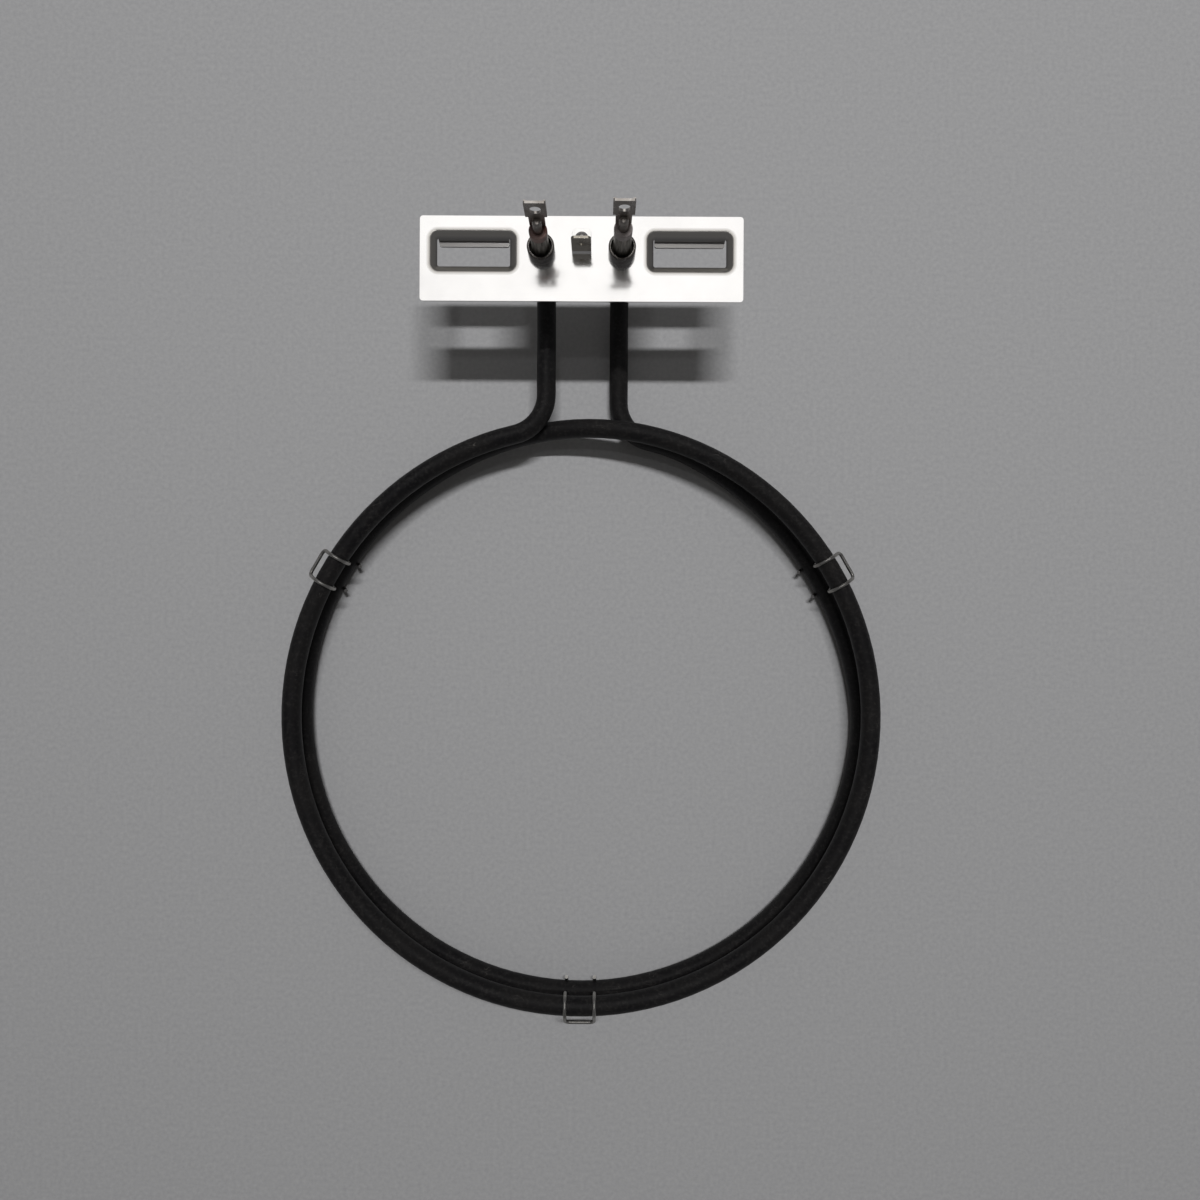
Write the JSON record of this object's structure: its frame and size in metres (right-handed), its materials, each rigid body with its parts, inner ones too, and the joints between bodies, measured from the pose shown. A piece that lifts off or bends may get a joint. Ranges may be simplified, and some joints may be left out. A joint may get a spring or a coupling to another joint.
{
  "type": "tubular heating element",
  "caption": "Round two-turn sheathed heating element with two legs, a windowed mounting plate, two blade terminals, an earth tag and wire ring clips.",
  "frame": {"origin": "on the axis of the ring, which is the axis of the fan wheel it surrounds, in the plane that the ring clips rest on", "axes": "+Z along the ring's axis, the way the terminals point; +Y from the ring towards the mounting plate"},
  "size_m": [0.2048, 0.2643, 0.0759],
  "materials": {
    "sheath": "dark oxidised, satin",
    "magnesia": "packed powder, matt",
    "coil": "bright wire",
    "pin": "dulled by heat",
    "seal": "matt",
    "stained_ceramic": "matt, stained brown",
    "ceramic": "matt",
    "tab_steel": "dull grey brown",
    "bush_steel": "turned",
    "plate_steel": "bright, smooth",
    "tag_steel": "satin",
    "rivet_steel": "satin",
    "clip_wire": "bright wire"
  },
  "bodies": {
    "root": {"sheath_tube": "sheath", "magnesia_fill": "magnesia", "heating_coil": "coil", "left_cold_pin": "pin", "right_cold_pin": "pin", "left_end_seal": "seal", "right_end_seal": "seal", "left_ceramic_bead": "stained_ceramic", "right_ceramic_bead": "ceramic", "left_blade_terminal": "tab_steel", "right_blade_terminal": "tab_steel", "left_bush": "bush_steel", "right_bush": "bush_steel", "mounting_plate": "plate_steel", "earth_tab": "tag_steel", "earth_rivet": "rivet_steel", "right_ring_clip": "clip_wire", "left_ring_clip": "clip_wire", "front_ring_clip": "clip_wire"}
  },
  "joints": []
}
